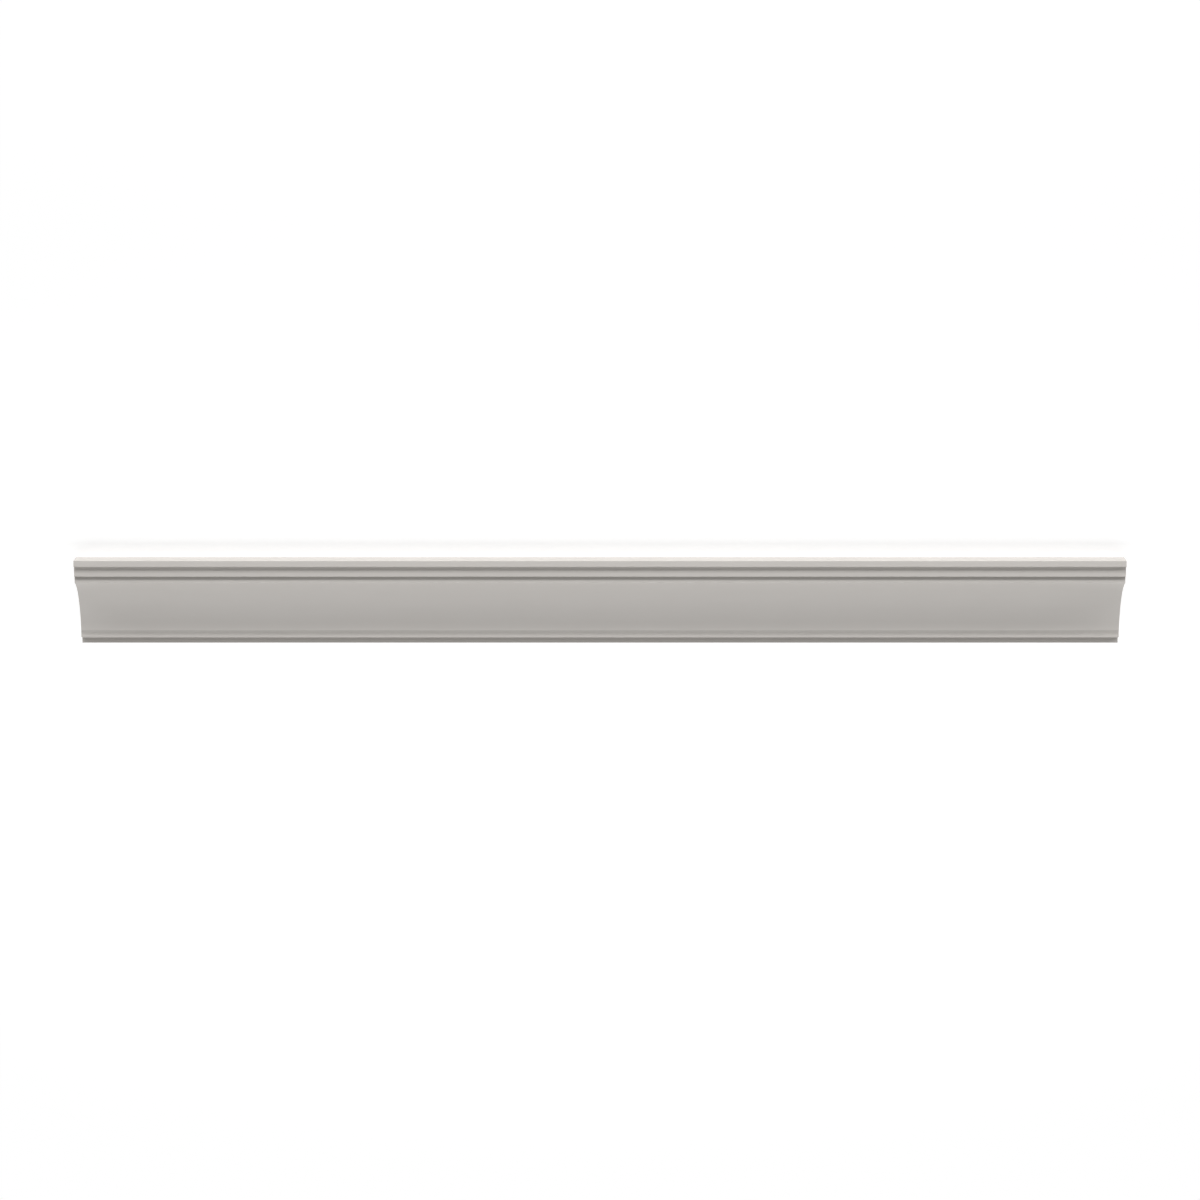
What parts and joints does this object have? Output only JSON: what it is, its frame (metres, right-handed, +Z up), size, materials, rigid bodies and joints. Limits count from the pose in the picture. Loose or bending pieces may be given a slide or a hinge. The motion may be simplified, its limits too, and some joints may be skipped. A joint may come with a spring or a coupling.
{
  "type": "cornice moulding",
  "caption": "Straight length of deep cove cornice with stepped upper bands, a small quirk and a set-back base fillet, for the corner of a wall and a ceiling.",
  "frame": {"origin": "centre of the bounding box at its base: the middle of the sloping back that the moulding lies on", "axes": "+X along the length; +Z up from the sloping back to the decorated side; -Y towards the ceiling edge, +Y towards the wall edge"},
  "size_m": [2.4, 0.2864, 0.0688],
  "materials": {
    "primed_moulding": "factory primed, warm off-white, low satin"
  },
  "bodies": {
    "root": {"cornice_moulding": "primed_moulding"}
  },
  "joints": []
}
